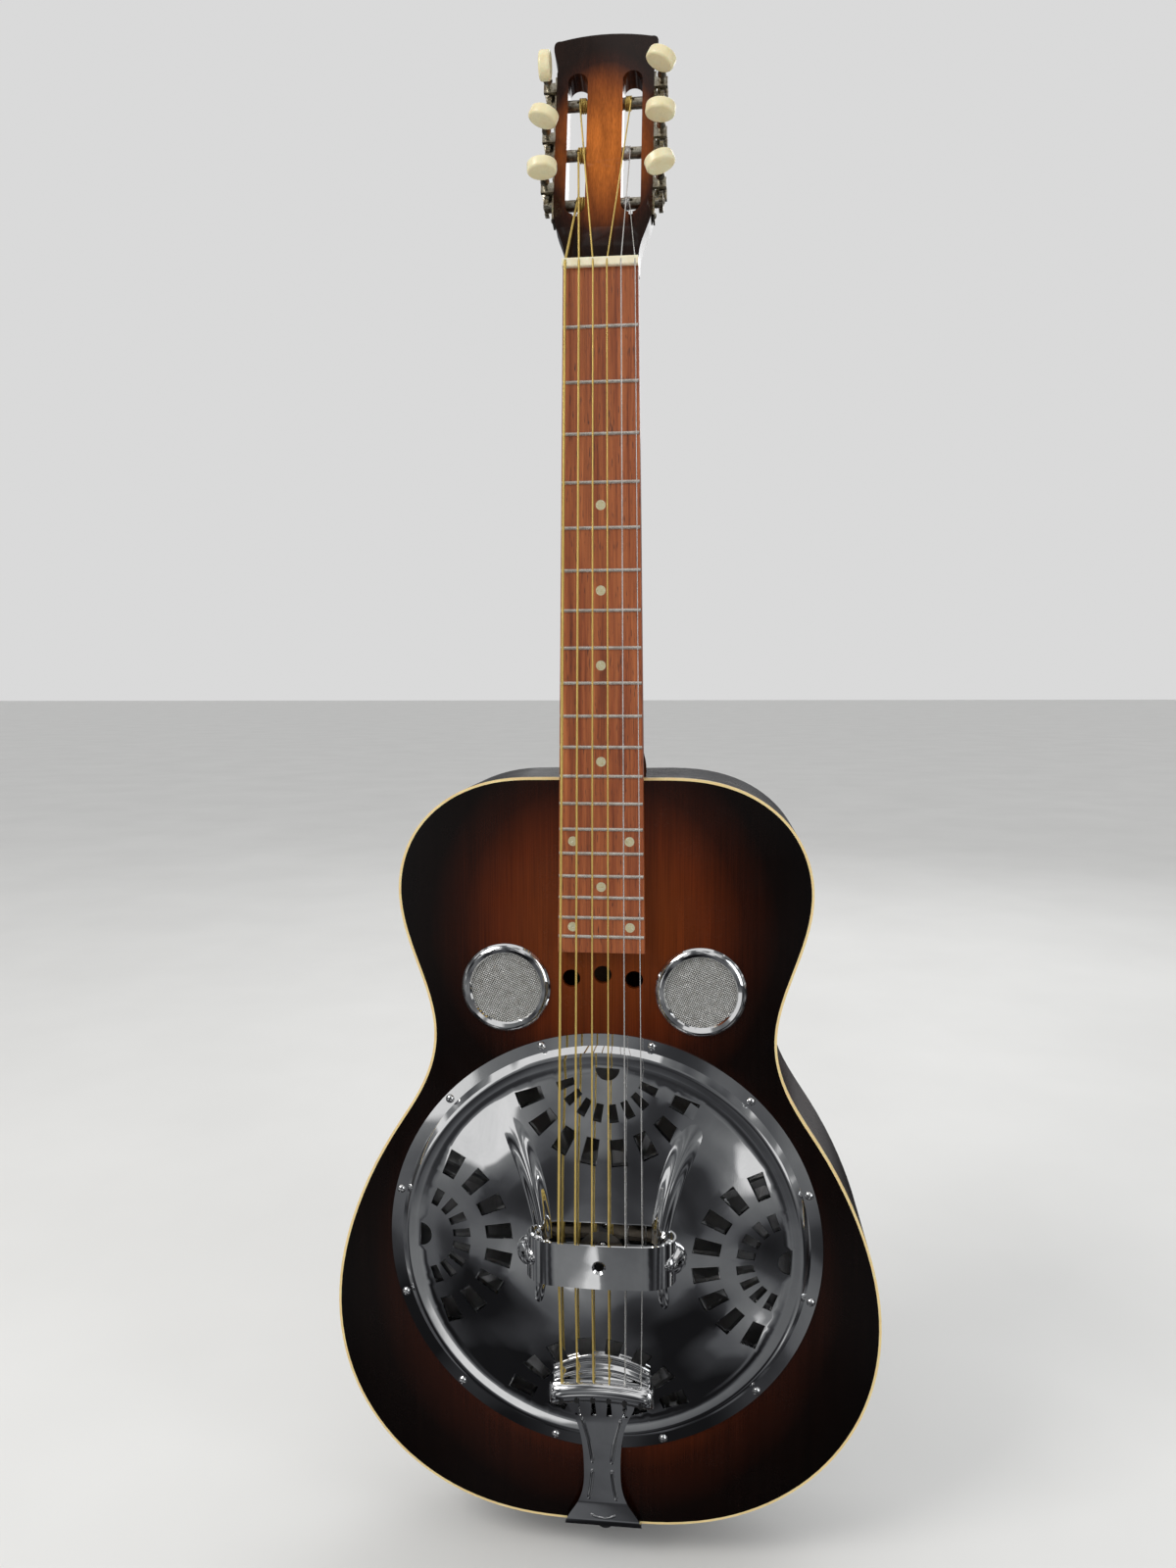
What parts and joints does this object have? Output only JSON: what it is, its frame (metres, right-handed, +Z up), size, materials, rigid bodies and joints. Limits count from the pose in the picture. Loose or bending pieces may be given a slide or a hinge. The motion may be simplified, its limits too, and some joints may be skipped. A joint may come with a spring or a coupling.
{
  "type": "resonator guitar",
  "caption": "Round-neck resonator guitar with a metal cone under a slotted coverplate, screened sound holes and a slotted headstock with worm tuners.",
  "frame": {"origin": "on the centreline in the neck at the nut, in the plane of the soundboard's face, where a hanger's yoke holds the neck", "axes": "+Z up along the neck to the headstock, +Y from the soundboard's face towards the back, +X to the treble side (the right as the face is seen)"},
  "size_m": [0.3688, 0.113, 1.0046],
  "materials": {
    "tuner_metal": "aged nickel plate",
    "ivory_plastic": "moulded, cream",
    "plain_string": "drawn wire",
    "wound_string": "bronze wound",
    "sunburst_top": "gloss lacquer over a brown sunburst",
    "dark_body": "gloss lacquer, dark brown",
    "binding": "aged cream",
    "neck_wood": "gloss lacquer, brown sunburst on the headstock",
    "rosewood": "open grain, oiled",
    "fret_metal": "polished nickel silver",
    "pearl": "pearl",
    "bone": "polished bone",
    "spun_aluminium": "spun and cast",
    "maple": "plain",
    "raw_wood": "unfinished",
    "screen_wire": "woven wire",
    "black_plastic": "moulded, black",
    "chrome": "polished plate"
  },
  "bodies": {
    "guitar": {"back": "dark_body", "cone": "spun_aluminium", "cover_screws": "chrome", "coverplate": "chrome", "end_pin": "black_plastic", "fingerboard": "rosewood", "frets": "fret_metal", "lining_back": "raw_wood", "lining_top": "raw_wood", "neck": "neck_wood", "neck_block": "raw_wood", "neck_stick": "raw_wood", "nut": "bone", "palm_rest": "chrome", "position_dots": "pearl", "saddles": "maple", "screen_mesh_bass": "screen_wire", "screen_mesh_treble": "screen_wire", "screen_ring_bass": "chrome", "screen_ring_treble": "chrome", "side_bass": "dark_body", "side_treble": "dark_body", "soundboard": "sunburst_top", "soundwell": "raw_wood", "spider": "spun_aluminium", "string_1": "plain_string", "string_2": "plain_string", "string_3": "wound_string", "string_4": "wound_string", "string_5": "wound_string", "string_6": "wound_string", "tail_block": "raw_wood", "tailpiece": "chrome", "tailpiece_screws": "chrome", "tension_screw": "chrome", "top_binding": "binding", "tuner_plate_bass": "tuner_metal", "tuner_plate_screws": "tuner_metal", "tuner_plate_treble": "tuner_metal"},
    "post_1": {"string_post_1": "tuner_metal"},
    "button_1": {"worm_shaft_1": "tuner_metal", "tuner_button_1": "ivory_plastic"},
    "post_2": {"string_post_2": "tuner_metal"},
    "button_2": {"worm_shaft_2": "tuner_metal", "tuner_button_2": "ivory_plastic"},
    "post_3": {"string_post_3": "tuner_metal"},
    "button_3": {"worm_shaft_3": "tuner_metal", "tuner_button_3": "ivory_plastic"},
    "post_4": {"string_post_4": "tuner_metal"},
    "button_4": {"worm_shaft_4": "tuner_metal", "tuner_button_4": "ivory_plastic"},
    "post_5": {"string_post_5": "tuner_metal"},
    "button_5": {"worm_shaft_5": "tuner_metal", "tuner_button_5": "ivory_plastic"},
    "post_6": {"string_post_6": "tuner_metal"},
    "button_6": {"worm_shaft_6": "tuner_metal", "tuner_button_6": "ivory_plastic"}
  },
  "joints": [
    {"name": "button_1_turn", "type": "hinge", "parent": "guitar", "child": "button_1", "pos_m": [0.036, 0.01998, 0.05463], "axis": [0, -0.9703, 0.2419], "continuous": true},
    {"name": "post_1_turn", "type": "hinge", "parent": "guitar", "child": "post_1", "pos_m": [0.0174, 0.01792, 0.04638], "axis": [1, 0, 0], "continuous": true},
    {"name": "button_2_turn", "type": "hinge", "parent": "guitar", "child": "button_2", "pos_m": [0.036, 0.02845, 0.08859], "axis": [0, -0.9703, 0.2419], "continuous": true},
    {"name": "post_2_turn", "type": "hinge", "parent": "guitar", "child": "post_2", "pos_m": [0.0174, 0.02639, 0.08034], "axis": [1, 0, 0], "continuous": true},
    {"name": "button_3_turn", "type": "hinge", "parent": "guitar", "child": "button_3", "pos_m": [0.036, 0.03691, 0.12255], "axis": [0, -0.9703, 0.2419], "continuous": true},
    {"name": "post_3_turn", "type": "hinge", "parent": "guitar", "child": "post_3", "pos_m": [0.0174, 0.03486, 0.1143], "axis": [1, 0, 0], "continuous": true},
    {"name": "button_4_turn", "type": "hinge", "parent": "guitar", "child": "button_4", "pos_m": [-0.036, 0.03691, 0.12255], "axis": [0, -0.9703, 0.2419], "continuous": true},
    {"name": "post_4_turn", "type": "hinge", "parent": "guitar", "child": "post_4", "pos_m": [-0.0174, 0.03486, 0.1143], "axis": [1, 0, 0], "continuous": true},
    {"name": "button_5_turn", "type": "hinge", "parent": "guitar", "child": "button_5", "pos_m": [-0.036, 0.02845, 0.08859], "axis": [0, -0.9703, 0.2419], "continuous": true},
    {"name": "post_5_turn", "type": "hinge", "parent": "guitar", "child": "post_5", "pos_m": [-0.0174, 0.02639, 0.08034], "axis": [1, 0, 0], "continuous": true},
    {"name": "button_6_turn", "type": "hinge", "parent": "guitar", "child": "button_6", "pos_m": [-0.036, 0.01998, 0.05463], "axis": [0, -0.9703, 0.2419], "continuous": true},
    {"name": "post_6_turn", "type": "hinge", "parent": "guitar", "child": "post_6", "pos_m": [-0.0174, 0.01792, 0.04638], "axis": [1, 0, 0], "continuous": true}
  ],
  "couplings": [
    {"joint": "button_1_turn", "follows": "post_1_turn", "ratio": -14},
    {"joint": "button_2_turn", "follows": "post_2_turn", "ratio": -14},
    {"joint": "button_3_turn", "follows": "post_3_turn", "ratio": -14},
    {"joint": "button_4_turn", "follows": "post_4_turn", "ratio": -14},
    {"joint": "button_5_turn", "follows": "post_5_turn", "ratio": -14},
    {"joint": "button_6_turn", "follows": "post_6_turn", "ratio": -14}
  ]
}
